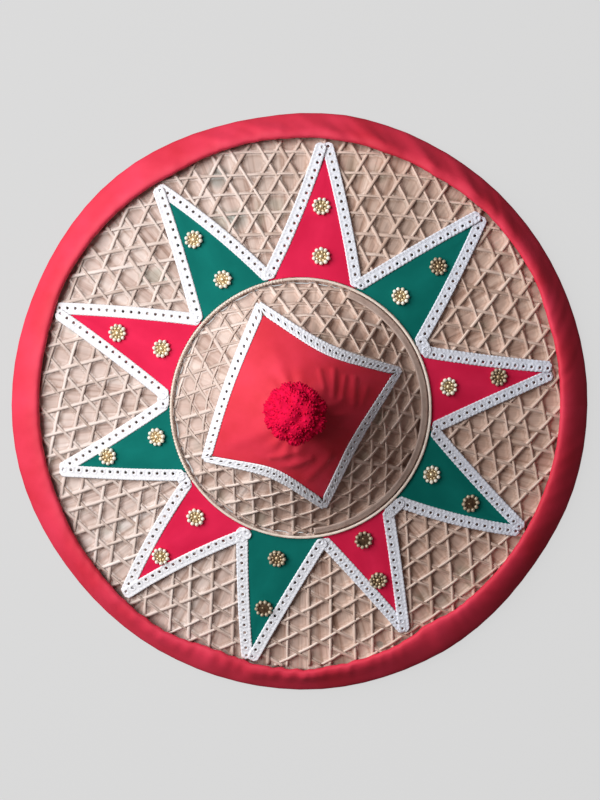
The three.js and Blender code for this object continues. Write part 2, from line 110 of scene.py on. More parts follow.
def lay_table():
    bm = bmesh.new()
    bmesh.ops.create_grid(bm, x_segments=1, y_segments=1, size=TABLE_SIDE / 2)
    mesh = bpy.data.meshes.new("table")
    bm.to_mesh(mesh)
    bm.free()
    paper, _ = new_finish(
        "pale_paper", Base_Color=(0.06, 0.06, 0.06, 1), Roughness=0.9, Specular_IOR_Level=0.1,
        Emission_Color=(1, 1, 1, 1), Emission_Strength=0.64)
    mesh.materials.append(paper)
    table = bpy.data.objects.new("table", mesh)
    bpy.context.scene.collection.objects.link(table)
    table.visible_diffuse = False
    table.visible_glossy = False


place_camera()
place_lamp()
lay_table()
world = bpy.data.worlds.new("studio")
world.use_nodes = True
backdrop = world.node_tree.nodes["Background"]
backdrop.inputs["Color"].default_value = (1, 0.8, 0.78, 1)
backdrop.inputs["Strength"].default_value = 0.092
bpy.context.scene.world = world
bpy.context.scene.view_settings.view_transform = "Standard"

# Weave: two open lattices of split bamboo hold dried palm leaf between them. The strips run in
# three directions and leave six-sided cells, a little uneven, as a hand plaits them. The flat
# pattern wraps each cone at an even scale and turns with it, five sixths of a full round.
HOLE_RADIUS = 98 * MM
BRIM_WALL = 3 * MM
BRIM_EDGE = (brim_high[0] - brim_low[0]) / 2
BRIM_SLOPE = (brim_high[2] - brim_low[2] - BRIM_WALL) / (BRIM_EDGE - HOLE_RADIUS)
CROWN_ROWS = [
    (97.5, 47.3), (93, 50.1), (86, 55.6), (76, 65.1), (62, 78.8), (48, 92.4),
    (36, 103.5), (27, 111.4), (19, 117.3), (12, 121.2), (6, 123.4), (0, 124),
]
PATTERN_SECTORS = 5
PATTERN_SHARE = PATTERN_SECTORS / 6
PATTERN_ROUND = math.radians(60 * PATTERN_SECTORS)
SECTOR_TONES = [0.15, 0.15, -0.1, 0.35, 0.15]
STRIP_TONES = 0.7
STRIP_WIDTHS = (0.75, 1.2)
STRIP_NUDGE = 0.09
STRIP_LEAN = 0.009
STRIP_BEND = 0.055
STRIP_WAVE = 0.55


def brim_height(radius):
    return brim_high[2] - (radius - HOLE_RADIUS) * BRIM_SLOPE


# Height of the crown's outside, on a smooth curve through its rows
def crown_height(radius):
    last = len(CROWN_ROWS) - 1
    i = 0
    while i < last - 1 and radius < CROWN_ROWS[i + 1][0] * MM:
        i += 1
    slopes = []
    for k in (i, i + 1):
        before, after = CROWN_ROWS[max(0, k - 1)], CROWN_ROWS[min(last, k + 1)]
        slopes.append(0 if k == last else (after[1] - before[1]) / (after[0] - before[0]))
    (start, low), (end, high) = CROWN_ROWS[i], CROWN_ROWS[i + 1]
    t = (radius / MM - start) / (end - start)
    ease = t * t * (3 - 2 * t)
    leave = t * (1 - t) ** 2 * (end - start) * slopes[0]
    arrive = t * t * (t - 1) * (end - start) * slopes[1]
    return (low * (1 - ease) + high * ease + leave + arrive) * MM


# The point that stands a given distance out from the brim or the crown, over a place in plan
def point_over(height_at, x, y, lift):
    radius = math.hypot(x, y)
    height = height_at(radius)
    if radius < 0.2 * MM:
        return hat_axis + Vector((x, y, height + lift))
    step = 0.2 * MM
    slope = (height_at(radius + step) - height) / step
    length = math.hypot(1, slope)
    share = (radius - lift * slope / length) / radius
    return hat_axis + Vector((x * share, y * share, height + lift / length))


# One cone's flat pattern: how far from its centre a radius in plan lies, the way back, and the
# strips of each sector. Its scale is true at the radius even_at
def weave_pattern(height_at, inner, outer, even_at, gap, seed):
    step = 0.5 * MM
    count = int((outer - inner) / step) + 2
    radii = [inner + i * step for i in range(count)]
    logs = [0.0]
    for radius in radii[1:]:
        middle = radius - step / 2
        slope = (height_at(middle + step / 2) - height_at(middle - step / 2)) / step
        logs.append(logs[-1] + PATTERN_SHARE * math.hypot(1, slope) * step / middle)
    at_even = logs[int((even_at - inner) / step)]
    spans = [even_at / PATTERN_SHARE * math.exp(value - at_even) for value in logs]

    def span_of(radius):
        place = min(max((radius - inner) / step, 0), count - 1.001)
        i = int(place)
        return spans[i] + (spans[i + 1] - spans[i]) * (place - i)

    def radius_of(span):
        k = min(max(bisect.bisect_right(spans, span), 1), count - 1)
        share = (span - spans[k - 1]) / (spans[k] - spans[k - 1])
        return radii[k - 1] + share * step

    draw = random.Random(seed)
    sectors = []
    for paler in SECTOR_TONES:
        sectors.append([{
            "distance": (row + 0.5 + draw.uniform(-1, 1) * STRIP_NUDGE) * gap,
            "lean": draw.uniform(-1, 1) * STRIP_LEAN,
            "bend": draw.uniform(-1, 1) * STRIP_BEND * gap,
            "tone": paler + draw.random() * STRIP_TONES,
            "width": draw.uniform(*STRIP_WIDTHS),
        } for row in range(int(spans[-1] / gap) + 1)])
    return span_of, radius_of, sectors


def strip_middle(strip, gap, t):
    sway = strip["bend"] * math.sin(STRIP_WAVE * t / gap + strip["distance"] / gap)
    return strip["distance"] + strip["lean"] * t + sway


# How far a place in plan lies from the middle of the nearest strip, measured in the pattern
def strip_gap_at(pattern, gap, x, y):
    span_of, _, sectors = pattern
    span = span_of(math.hypot(x, y))
    whole = (math.atan2(y, x) - math.pi / 2) * PATTERN_SHARE
    nearest = gap
    for number, strips in enumerate(sectors):
        angle = (whole - math.radians(60 * number) + PATTERN_ROUND / 2) % PATTERN_ROUND
        angle -= PATTERN_ROUND / 2
        across, t = span * math.cos(angle), span * math.sin(angle)
        if across > 0:
            row = int(across / gap)
            for strip in strips[max(0, row - 1):row + 2]:
                nearest = min(nearest, abs(across - strip_middle(strip, gap, t)))
    return nearest


BRIM_GAP, CROWN_GAP = 15.8 * MM, 15.5 * MM
brim_pattern = weave_pattern(brim_height, 92 * MM, 216 * MM, 150 * MM, BRIM_GAP, 11)
crown_pattern = weave_pattern(crown_height, 2 * MM, 102 * MM, 70 * MM, CROWN_GAP, 12)

# Palm leaf: dried blades laid side by side from the tip down, each lapping over the next. They are
# the wall of the hat, pleated lengthwise. The lattice holds them up along its strips, and in every
# six-sided cell they sink in.
LEAF_SINK = 1.45 * MM
LEAF_DIP = 1.6 * MM
LEAF_THICKNESS = 0.5 * MM
LEAF_LAP = 0.5 * MM
LEAF_HELD, LEAF_SLOPE = 0.1, 0.1
BLADE_WIDTHS = (0.6, 1.5)
BLADE_WANDER = 0.006


def smooth_step(value):
    t = min(1.0, max(0.0, value))
    return t * t * (3 - 2 * t)


# A grid whose corners are moved to place(u, v), both from 0 to 1, with its UV map in metres
def add_sheet(bm, steps_u, steps_v, place, size=(1, 1), shift=(0, 0)):
    uv = bm.loops.layers.uv.verify()
    made = bmesh.ops.create_grid(
        bm, x_segments=steps_u, y_segments=steps_v, size=0.5, calc_uvs=True)
    faces = {face for vert in made["verts"] for face in vert.link_faces}
    for face in faces:
        for loop in face.loops:
            u, v = loop[uv].uv
            loop[uv].uv = (u * size[0] + shift[0], v * size[1] + shift[1])
    for vert in made["verts"]:
        vert.co = place(vert.co.x + 0.5, vert.co.y + 0.5)
    return made["verts"]


# Faces of an open sheet all turned to look up or outward
def face_up(bm):
    bmesh.ops.recalc_face_normals(bm, faces=bm.faces)
    if sum(face.normal.z for face in bm.faces) < 0:
        bmesh.ops.reverse_faces(bm, faces=bm.faces)


def add_piece(name, bm, finishes):
    for face in bm.faces:
        face.smooth = True
    mesh = bpy.data.meshes.new(name)
    bm.to_mesh(mesh)
    bm.free()
    for finish in finishes:
        mesh.materials.append(finish)
    piece = bpy.data.objects.new(name, mesh)
    bpy.context.scene.collection.objects.link(piece)
    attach(piece, "root")
    return piece


def thicken(piece, thickness):
    wall = piece.modifiers.new("thickness", "SOLIDIFY")
    wall.thickness = thickness
    wall.offset = -1
    wall.use_even_offset = False


# A node, with what goes into its sockets, links or values, and its own settings
def add_node(finish, kind, inputs=(), **settings):
    tree = finish.node_tree
    node = tree.nodes.new(kind)
    for setting, value in settings.items():
        setattr(node, setting, value)
    for socket, value in dict(inputs).items():
        if isinstance(value, bpy.types.NodeSocket):
            tree.links.new(value, node.inputs[socket])
        else:
            node.inputs[socket].default_value = value
    return node


def colour_steps(finish, factor, steps):
    ramp = add_node(finish, "ShaderNodeValToRGB", {"Fac": factor})
    while len(ramp.color_ramp.elements) < len(steps):
        ramp.color_ramp.elements.new(0.5)
    for element, (position, colour) in zip(ramp.color_ramp.elements, steps):
        element.position = position
        element.color = (*colour, 1)
    return ramp.outputs["Color"]


def multiply(finish, amount, first, second):
    mixed = add_node(finish, "ShaderNodeMix", {0: amount, 6: first, 7: second},
                     data_type="RGBA", blend_type="MULTIPLY")
    return mixed.outputs[2]


def stretched_noise(finish, uv, scale, detail):
    along = add_node(finish, "ShaderNodeMapping", {"Vector": uv, "Scale": scale})
    grain = add_node(
        finish, "ShaderNodeTexNoise", {"Vector": along.outputs[0], "Scale": 1, "Detail": detail})
    return grain.outputs["Fac"]


def paint(finish, shader, colour):
    finish.node_tree.links.new(colour, shader.inputs["Base Color"])


def relief(finish, shader, height, strength, distance, under=None):
    bump = add_node(finish, "ShaderNodeBump",
                    {"Height": height, "Strength": strength, "Distance": distance})
    if under:
        finish.node_tree.links.new(under, bump.inputs["Normal"])
    finish.node_tree.links.new(bump.outputs[0], shader.inputs["Normal"])
    return bump.outputs[0]


# Painted shade: a colour times one that changes from left to right, from the lamp's side to the far
# side
def painted_shade_across(finish, colour, strength, steps):
    place = add_node(finish, "ShaderNodeTexCoord").outputs["Object"]
    across = add_node(finish, "ShaderNodeSeparateXYZ", {"Vector": place}).outputs["X"]
    share = add_node(finish, "ShaderNodeMapRange",
                     {"Value": across, "From Min": -160 * MM, "From Max": 160 * MM}).outputs[0]
    return multiply(finish, strength, colour, colour_steps(finish, share, steps))


# Painted shade on the weave: pale at its left, on the lamp's side, warmer and darker at its right
WEAVE_SHADE_TINT = [
    (0, (0.99, 1, 1)), (0.3, (1, 0.98, 0.96)), (0.62, (1, 0.9, 0.82)), (1, (1, 0.88, 0.79)),
]
LEAF_STAINS = [
    # angle in degrees and radius of a patch of leaf on the brim, its size, all lengths in mm, and
    # how far it has turned grey-green (below 0) or bleached white (above 0)
    (109.7, 188.9, 9, -1.0), (108.6, 153, 8, -0.9), (305.9, 185, 12, -0.6), (46, 163.6, 10, -0.5),
    (167.2, 198.9, 18, 0.8), (183.1, 191.4, 16, 0.7), (175, 197, 15, 0.6), (288.4, 200.2, 2.2, -3),
    (60, 170, 36, -0.35), (99, 182, 24, -0.25),
]


def leaf_finish():
    finish, shader = new_finish("palm_leaf", Roughness=0.7, Specular_IOR_Level=0.25)
    uv = add_node(finish, "ShaderNodeUVMap").outputs["UV"]
    fibres = stretched_noise(finish, uv, (1100, 30, 1), 5)
    pleats = stretched_noise(finish, uv, (230, 9, 1), 2)
    blades = stretched_noise(finish, uv, (62, 8, 1), 3)
    green = stretched_noise(finish, uv, (34, 26, 7), 2)
    ground = colour_steps(finish, blades, [
        (0.3, (0.6, 0.49, 0.44)), (0.45, (0.78, 0.66, 0.62)),
        (0.58, (0.87, 0.77, 0.73)), (0.74, (0.98, 0.93, 0.92)),
    ])
    patches = colour_steps(finish, green, [(0.6, (1, 1, 1)), (0.7, (0.66, 0.76, 0.72))])
    # Painted shade in the troughs of the pleats, on top of their relief
    folds = colour_steps(finish, pleats, [
        (0.34, (0.56, 0.44, 0.38)), (0.46, (0.94, 0.9, 0.88)), (0.6, (1, 1, 1)),
    ])
    streaks = colour_steps(finish, fibres, [
        (0.3, (0.8, 0.73, 0.69)), (0.5, (0.97, 0.95, 0.94)), (0.7, (1, 1, 1)),
    ])
    colour = multiply(finish, 0.8, ground, patches)
    colour = multiply(finish, 0.7, colour, folds)
    colour = multiply(finish, 0.5, colour, streaks)
    # Painted shade in the sunk cells: the leaf darkens where it dips in, most on the cells' walls
    cell = add_node(finish, "ShaderNodeAttribute", attribute_name="cell").outputs["Fac"]
    painted_cell_shade = colour_steps(finish, cell, [
        (0, (1, 1, 1)), (0.5, (0.7, 0.62, 0.57)), (1, (0.86, 0.81, 0.78)),
    ])
    colour = multiply(finish, 1, colour, painted_cell_shade)
    stain = add_node(finish, "ShaderNodeAttribute", attribute_name="stain").outputs["Fac"]
    turned = add_node(finish, "ShaderNodeMapRange", {"Value": stain, "From Min": -1, "From Max": 1})
    stained = colour_steps(finish, turned.outputs[0], [
        (0, (0.58, 0.7, 0.72)), (0.5, (0.97, 0.97, 0.97)), (1, (1, 1, 1)),
    ])
    # The weave takes the painted shade from left to right, times its stains
    paint(finish, shader, multiply(finish, 1, painted_shade_across(finish, colour, 1, WEAVE_SHADE_TINT), stained))
    coarse = relief(finish, shader, pleats, 0.6, 1.6 * MM)
    relief(finish, shader, fibres, 0.35, 0.4 * MM, coarse)
    return finish


# Blades of uneven width round the hat. Each rises toward the edge that laps over its neighbour
def blade_edges(count, seed):
    draw = random.Random(seed)
    widths = [draw.uniform(*BLADE_WIDTHS) for _ in range(count)]
    edges, turn = [], 0
    for width in widths:
        edges.append(turn / sum(widths))
        turn += width
    return [*edges, 1.0]


def blade_rise(edges, share):
    k = next(i for i in range(len(edges) - 1) if share <= edges[i + 1])
    return LEAF_LAP * ((share - edges[k]) / (edges[k + 1] - edges[k]) - 0.5)


def leaf_layer(name, height_at, pattern, gap, inner, outer, steps_round, steps_out, blades, seed):
    edges = blade_edges(blades, seed)
    draw = random.Random(seed)
    lean = [draw.uniform(-BLADE_WANDER, BLADE_WANDER) for _ in range(7)]

    def place(u, v):
        radius = inner + (outer - inner) * v
        wander = sum(a * math.sin((k + 1) * math.tau * u + 3 * k) for k, a in enumerate(lean))
        rise = blade_rise(edges, (u + wander * v) % 1)
        angle = u * math.tau
        x, y = radius * math.cos(angle), radius * math.sin(angle)
        free = strip_gap_at(pattern, gap, x, y) / gap
        dips.append(smooth_step((free - LEAF_HELD) / LEAF_SLOPE))
        return point_over(height_at, x, y, rise - LEAF_SINK - LEAF_DIP * dips[-1])

    bm = bmesh.new()
    dips = []
    stain = bm.verts.layers.float.new("stain")
    cell = bm.verts.layers.float.new("cell")
    size = (math.pi * (inner + outer), outer - inner)
    made = add_sheet(bm, steps_round, steps_out, place, size)
    for vert, dip in zip(made, dips):
        vert[cell] = dip
        for angle, radius, reach, turned in LEAF_STAINS:
            spot = hat_axis + from_polar(math.radians(angle), radius * MM)
            away = (vert.co - spot).xy.length / (reach * MM)
            vert[stain] += turned * math.exp(-away ** 4) if away < 2 else 0
    bmesh.ops.remove_doubles(bm, verts=bm.verts, dist=0.001 * MM)
    face_up(bm)
    piece = add_piece(name, bm, [palm_leaf])
    thicken(piece, LEAF_THICKNESS)
    return piece


palm_leaf = leaf_finish()
brim_leaf = leaf_layer("brim_leaf", brim_height, brim_pattern, BRIM_GAP, 97 * MM, 212 * MM,
                       680, 72, 58, 3)
crown_leaf = leaf_layer("crown_leaf", crown_height, crown_pattern, CROWN_GAP, 0, 97 * MM,
                        560, 80, 26, 5)
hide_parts("brim")
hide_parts("crown")

# Bamboo lattice: thin split strips over the leaf, each over one neighbour and under the next. On
# the crown they end under the patch.
STRIP_WIDTH = 2.25 * MM
STRIP_THICKNESS = 0.4 * MM
STRIP_DOME = 0.08 * MM
STRIP_STEP = 2.4 * MM
STRIP_SINK = 0.55 * MM
WEAVE_RISE = 0.34 * MM


def bamboo_finish():
    finish, shader = new_finish("split_bamboo", Roughness=0.5, Specular_IOR_Level=0.35)
    uv = add_node(finish, "ShaderNodeUVMap").outputs["UV"]
    fibres = stretched_noise(finish, uv, (18, 2400, 1), 3)
    stains = stretched_noise(finish, uv, (22, 60, 1), 4)
    tone = add_node(finish, "ShaderNodeAttribute", attribute_name="tone").outputs["Fac"]
    strip = colour_steps(finish, tone, [
        (0, (0.57, 0.45, 0.39)), (0.35, (0.75, 0.62, 0.56)), (1, (0.91, 0.81, 0.76)),
    ])
    shade = colour_steps(finish, stains, [
        (0.3, (0.74, 0.66, 0.6)), (0.5, (1, 1, 1)), (0.75, (1, 0.98, 0.96)),
    ])
    threads = colour_steps(finish, fibres, [(0.35, (0.84, 0.8, 0.77)), (0.6, (1, 1, 1))])
    colour = multiply(finish, 0.8, multiply(finish, 0.8, strip, shade), threads)
    # The strips take the same painted shade from left to right, at 0.8
    paint(finish, shader, painted_shade_across(finish, colour, 0.8, WEAVE_SHADE_TINT))
    relief(finish, shader, fibres, 0.35, 0.2 * MM)
    return finish


# Faces of loose strips that look down are turned to look up
def turn_strips_up(bm):
    bmesh.ops.recalc_face_normals(bm, faces=bm.faces)
    for face in bm.faces:
        if face.normal.z < 0:
            face.normal_flip()


def lattice(name, height_at, pattern, gap, inner, outer, seed):
    span_of, radius_of, sectors = pattern
    inner_span, outer_span = span_of(inner), span_of(outer)
    draw = random.Random(seed)
    bm = bmesh.new()
    tone = bm.verts.layers.float.new("tone")
    crossing = gap / math.sqrt(3)
    for number, strips in enumerate(sectors):
        for row, strip in enumerate(strips):
            distance, width = strip["distance"], strip["width"] * STRIP_WIDTH
            if distance >= outer_span:
                continue
            reach = math.sqrt(outer_span ** 2 - distance ** 2)
            stretches = [(-reach, reach)]
            if distance < inner_span:
                hole = math.sqrt(inner_span ** 2 - distance ** 2)
                stretches = [(-reach, -hole), (hole, reach)]
            for start, end in stretches:
                if end - start < 2 * STRIP_WIDTH:
                    continue

                def place(u, v):
                    t = start + (end - start) * u
                    across = strip_middle(strip, gap, t) + (v - 0.5) * width
                    angle = math.atan2(t, across) + math.radians(60 * number)
                    turn = (angle % PATTERN_ROUND) / PATTERN_SHARE + math.pi / 2
                    radius = radius_of(math.hypot(t, across))
                    wave = math.cos(math.tau * (t / (2 * crossing) + row / 2 - 0.25))
                    rise = WEAVE_RISE * wave + STRIP_DOME * (1 - (2 * v - 1) ** 2) - STRIP_SINK
                    return point_over(
                        height_at, radius * math.cos(turn), radius * math.sin(turn), rise)

                steps = max(3, round((end - start) / STRIP_STEP))
                made = add_sheet(bm, steps, 2, place, size=(end - start, width),
                                 shift=(draw.uniform(0, 9), draw.uniform(0, 9)))
                for vert in made:
                    vert[tone] = strip["tone"]
    turn_strips_up(bm)
    thicken(add_piece(name, bm, [split_bamboo]), STRIP_THICKNESS)


split_bamboo = bamboo_finish()
lattice("brim_lattice", brim_height, brim_pattern, BRIM_GAP, 98.5 * MM, 208 * MM, 13)
lattice("crown_lattice", crown_height, crown_pattern, CROWN_GAP, 26 * MM, 96.5 * MM, 14)

# Split-cane hoop: a thin round cane over the joint of crown and brim, with a thread wound round it
# on the lamp's side. Inside it, on the far side only, a smooth flat band lies on the crown's foot.
HOOP_RADIUS = 98.9 * MM
HOOP_HEIGHT = 49 * MM
HOOP_HALF_WIDTH = 1.05 * MM
BAND_OUTER, BAND_INNER = 97.4 * MM, 91.8 * MM
BAND_START, BAND_END = math.radians(-84), math.radians(68)
BAND_LIFT = 0.35 * MM
BAND_DOME = 0.2 * MM
BAND_THICKNESS = 0.5 * MM
THREAD_PITCH = 2.6 * MM
THREAD_RADIUS = 0.3 * MM
THREAD_START, THREAD_END = math.radians(98), math.radians(214)
THREAD_TURNS = (THREAD_END - THREAD_START) * HOOP_RADIUS / THREAD_PITCH


# A finish of one speckled colour, with a fine relief where the speckles are
def speckled_finish(name, steps, scale, detail, strength, depth, rough_grain=0.5, **constants):
    finish, shader = new_finish(name, **constants)
    place = add_node(finish, "ShaderNodeTexCoord").outputs["Object"]
    grain = add_node(finish, "ShaderNodeTexNoise", {
        "Vector": place, "Scale": scale, "Detail": detail, "Roughness": rough_grain}).outputs["Fac"]
    paint(finish, shader, colour_steps(finish, grain, steps))
    relief(finish, shader, grain, strength, depth)
    return finish


def cane_finish(name, dark, plain, pale):
    return speckled_finish(name, [(0.3, dark), (0.5, plain), (0.7, pale)], 90, 6, 0.3, 0.3 * MM,
                           rough_grain=0.7, Roughness=0.5, Specular_IOR_Level=0.3)


# A round bar that follows path(u), its section turned by the path's side and up directions
def add_bar(bm, steps, sides, path, radius):
    def place(u, v):
        middle, side, up = path(u)
        around = v * math.tau
        return hat_axis + middle + (side * math.cos(around) + up * math.sin(around)) * radius

    add_sheet(bm, steps, sides, place, size=(1, math.tau * radius))


# Bars merged at their seams, their open ends filled and their faces turned outward
def close_bars(bm, reach, sides):
    bmesh.ops.remove_doubles(bm, verts=bm.verts, dist=reach)
    bmesh.ops.holes_fill(bm, edges=[edge for edge in bm.edges if edge.is_boundary], sides=sides)
    bmesh.ops.recalc_face_normals(bm, faces=bm.faces)


def hoop_path(u):
    angle = u * math.tau
    return from_polar(angle, HOOP_RADIUS, HOOP_HEIGHT), from_polar(angle, 1), Vector((0, 0, 1))


# The thread's middle, wound round the hoop's section
def thread_path(u):
    angle = THREAD_START + (THREAD_END - THREAD_START) * u
    around = u * THREAD_TURNS * math.tau
    across = from_polar(angle, 1) * math.cos(around) + Vector((0, 0, math.sin(around)))
    reach = HOOP_HALF_WIDTH + THREAD_RADIUS * 0.5
    middle = from_polar(angle, HOOP_RADIUS, HOOP_HEIGHT) + across * reach
    return middle, across, from_polar(angle + math.pi / 2, 1)


def band_place(u, v):
    angle = BAND_START + (BAND_END - BAND_START) * u
    radius = BAND_OUTER + (BAND_INNER - BAND_OUTER) * v
    lift = BAND_LIFT + BAND_DOME * (1 - (2 * v - 1) ** 2)
    return point_over(crown_height, radius * math.cos(angle), radius * math.sin(angle), lift)


split_cane = cane_finish("split_cane", (0.72, 0.58, 0.48), (0.88, 0.76, 0.66), (0.97, 0.89, 0.8))
flat_cane = cane_finish("flat_cane", (0.4, 0.28, 0.23), (0.56, 0.42, 0.36), (0.64, 0.51, 0.44))
bm = bmesh.new()
add_bar(bm, 240, 10, hoop_path, HOOP_HALF_WIDTH)
add_bar(bm, round(THREAD_TURNS) * 10, 5, thread_path, THREAD_RADIUS)
close_bars(bm, 0.001 * MM, 8)
hoop = add_piece("cane_hoop", bm, [split_cane])
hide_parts("crown_ring")

bm = bmesh.new()
add_sheet(bm, 130, 4, band_place, size=(0.25, BAND_OUTER - BAND_INNER))
face_up(bm)
band = add_piece("cane_band", bm, [flat_cane])
thicken(band, BAND_THICKNESS)

# Rim binding: a strip of red cotton drawn round the turned-down edge of the brim and the cane in
# it, its upper edge tucked in over the weave and its hem sewn below. It pulls into slanting folds.
RIM_STEPS_ROUND = 600
RIM_STEPS_ACROSS = 36
RIM_CLOTH = 0.8 * MM
RIM_ROWS = [
    # radius, height, how far a fold lifts the cloth there and how far the inner edge draws it along
    (205.4, 14.6, 0, 1), (206.4, 12.6, 0, 1), (213.6, 8.6, 0, 0.5), (221.4, 1.0, 0, 0),
    (225.0, 0.4, 0, 0), (227.6, 0.7, 0.1, 0), (229.3, 4.4, 0.2, 0), (227.2, 8.4, 0.7, 0),
    (221.7, 14.3, 1, 0.1), (215.7, 20.3, 1, 0.5), (210.9, 23.8, 1, 0.9), (206.8, 24.9, 1, 1),
    (204.9, 22.6, 0.7, 1), (206.0, 19.9, 0, 1),
]
RIM_FOLDS = [
    # angle, width and twist in degrees, raise in mm
    (40, 3, 7, 0.9), (50, 3.5, 9, 1.5), (60, 3, 9, 1.2), (71, 4, 10, 1.8), (82, 3, 9, 1.0),
    (93, 4, 9, 1.5), (104, 3, 8, 0.9), (118, 5, 6, 0.5), (251, 6, 0, 1.4), (262, 3, -4, 0.6),
    (301, 5, 0, 1.6), (312, 3, 3, 0.5), (54, 17, 0, 1.3),
    (205, 4, 4, 0.4), (224, 4, -4, 0.5), (334, 4, 3, 0.4), (8, 4, -3, 0.4), (30, 4, 5, 0.5),
]
RIM_EDGE = [
    # angle, and how far outward of its plain round the inner edge lies there, in mm
    (0, -1.6), (18, -0.6), (30, 2.4), (48, 3.4), (60, 2.2), (84, 3.2), (100, 2.6), (118, 0.2),
    (134, 1.8), (150, 2.0), (166, -0.8), (200, -1.0), (214, 0.2), (238, 2.8), (251, -0.6),
    (262, 3.0), (271, 4.2), (282, 1.8), (290, 0.0), (300, -4.6), (309, -2.6), (330, -2.2),
    (360, -1.6),
]
RIM_WIDEST, RIM_WIDEST_HEIGHT = 229.6 * MM, 4.4 * MM
FELT_FROM = 0.3
# Inner radius and breadth in mm, of the plain binding and of the part whose outline wanders
RIM_INNER, RIM_BREADTH = 204.8, 24.8
WANDER_INNER, WANDER_BREADTH = 216, 13.6
# The row at which the inner roll starts, and the shares of a fold's raise that go out, in and up
INNER_ROLL = 10.5
FOLD_OUT, FOLD_IN, FOLD_UP = 0.35, -0.5, 0.85
# Raise in mm and number round the rim of its ripples, creases and puckers, and at what angle the
# inner edge puckers most, over how many degrees, with what share elsewhere
RIPPLE_RAISE, RIPPLES = 0.5, 9
CREASE_RAISE, CREASES, CREASE_SLANT = 0.5, 26, 0.12
PUCKER_REACH, PUCKERS, PUCKER_UP = 1.5, 34, 0.5
PUCKERED_MOST, PUCKERED_WIDTH, PUCKERED_LEAST = 262, 36, 0.25


def cloth_finish(name, deep, plain, roughness, thread, shine):
    finish, shader = new_finish(name, Roughness=roughness, Specular_IOR_Level=shine)
    uv = add_node(finish, "ShaderNodeUVMap").outputs["UV"]
    worn = stretched_noise(finish, uv, (26, 26, 26), 4)
    colour = colour_steps(finish, worn, [(0.3, deep), (0.7, plain)])
    waves = []
    for turn in (0, math.pi / 2):
        turned = add_node(finish, "ShaderNodeMapping", {"Vector": uv, "Rotation": (0, 0, turn)})
        waves.append(add_node(
            finish, "ShaderNodeTexWave",
            {"Vector": turned.outputs[0], "Scale": math.tau / (20 * thread), "Distortion": 0.6}))
    weave = add_node(finish, "ShaderNodeMath",
                     {0: waves[0].outputs["Fac"], 1: waves[1].outputs["Fac"]}, operation="MULTIPLY")
    shaded = colour_steps(finish, weave.outputs[0], [(0, (0.86, 0.86, 0.86)), (0.6, (1, 1, 1))])
    paint(finish, shader, multiply(finish, 0.7, colour, shaded))
    relief(finish, shader, weave.outputs[0], 0.3, 0.1 * MM)
    return finish


# The row at a share of the way through the rows, on a smooth curve through all of them
def along_rows(rows, share):
    last = len(rows) - 1
    i = int(min(max(share, 0), 0.9999) * last)
    t = min(max(share, 0), 0.9999) * last - i
    four = [rows[min(max(k, 0), last)] for k in (i - 1, i, i + 1, i + 2)]
    return [
        0.5 * (2 * b + (c - a) * t + (2 * a - 5 * b + 4 * c - d) * t ** 2
               + (3 * b - a - 3 * c + d) * t ** 3)
        for a, b, c, d in zip(*four)
    ]


# How far the rim reaches beyond its plain round at an angle, felt from outside
def rim_reaches():
    depsgraph = bpy.context.evaluated_depsgraph_get()
    rim = BVHTree.FromObject(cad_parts["rim_binding"], depsgraph)
    reaches = []
    for k in range(RIM_STEPS_ROUND):
        out = from_polar(k / RIM_STEPS_ROUND * math.tau, 1)
        start = hat_axis + out * FELT_FROM + Vector((0, 0, RIM_WIDEST_HEIGHT))
        reaches.append(FELT_FROM - rim.ray_cast(start, -out)[3] - RIM_WIDEST)
    return reaches


rim_reach = rim_reaches()


# How far the inner edge is drawn outward at an angle, eased between the measured places
def rim_edge_at(degrees):
    k = next(i for i in range(len(RIM_EDGE) - 1) if degrees <= RIM_EDGE[i + 1][0])
    (start, low), (end, high) = RIM_EDGE[k], RIM_EDGE[k + 1]
    return low + (high - low) * smooth_step((degrees - start) / (end - start))


# Noise round the rim that meets its own start
def noise_round(turn, waves, layer):
    return noise.noise(Vector((math.cos(turn) * waves, math.sin(turn) * waves, layer)))


def rim_place(u, v):
    radius, height, follow, drawn = along_rows(RIM_ROWS, v)
    degrees, turn = u * 360, u * math.tau
    across = (radius - RIM_INNER) / RIM_BREADTH
    raised = 0.0
    for angle, width, twist, lift in RIM_FOLDS:
        off = (degrees - angle - twist * across + 180) % 360 - 180
        raised += lift * math.exp(-2 * (off / width) ** 2)
    ripple = RIPPLE_RAISE * noise_round(turn, RIPPLES, across * 1.2)
    crease = CREASE_RAISE * noise_round(turn - across * CREASE_SLANT, CREASES, 5)
    raised = (raised + ripple + crease) * follow
    most = math.exp(-((degrees - PUCKERED_MOST) / PUCKERED_WIDTH) ** 2)
    pucker = PUCKER_REACH * drawn * noise_round(turn, PUCKERS, 3)
    pucker *= PUCKERED_LEAST + (1 - PUCKERED_LEAST) * most
    reach = rim_reach[round(u * RIM_STEPS_ROUND) % RIM_STEPS_ROUND] / MM
    radius += reach * smooth_step((radius - WANDER_INNER) / WANDER_BREADTH)
    radius += drawn * rim_edge_at(degrees) + pucker
    radius += raised * (FOLD_IN if v * (len(RIM_ROWS) - 1) > INNER_ROLL else FOLD_OUT)
    height += raised * FOLD_UP + pucker * PUCKER_UP
    return hat_axis + from_polar(turn, radius * MM, height * MM)


rim_cotton = cloth_finish(
    "red_rim_cotton", (0.72, 0.02, 0.05), (0.88, 0.042, 0.1), 0.7, 0.45 * MM, 0.5)
bm = bmesh.new()
add_sheet(bm, RIM_STEPS_ROUND, RIM_STEPS_ACROSS, rim_place, size=(1.37, 0.07))
bmesh.ops.remove_doubles(bm, verts=bm.verts, dist=0.001 * MM)
bmesh.ops.recalc_face_normals(bm, faces=bm.faces)
rim = add_piece("rim_cloth", bm, [rim_cotton])
thicken(rim, RIM_CLOTH)
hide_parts("rim_binding")

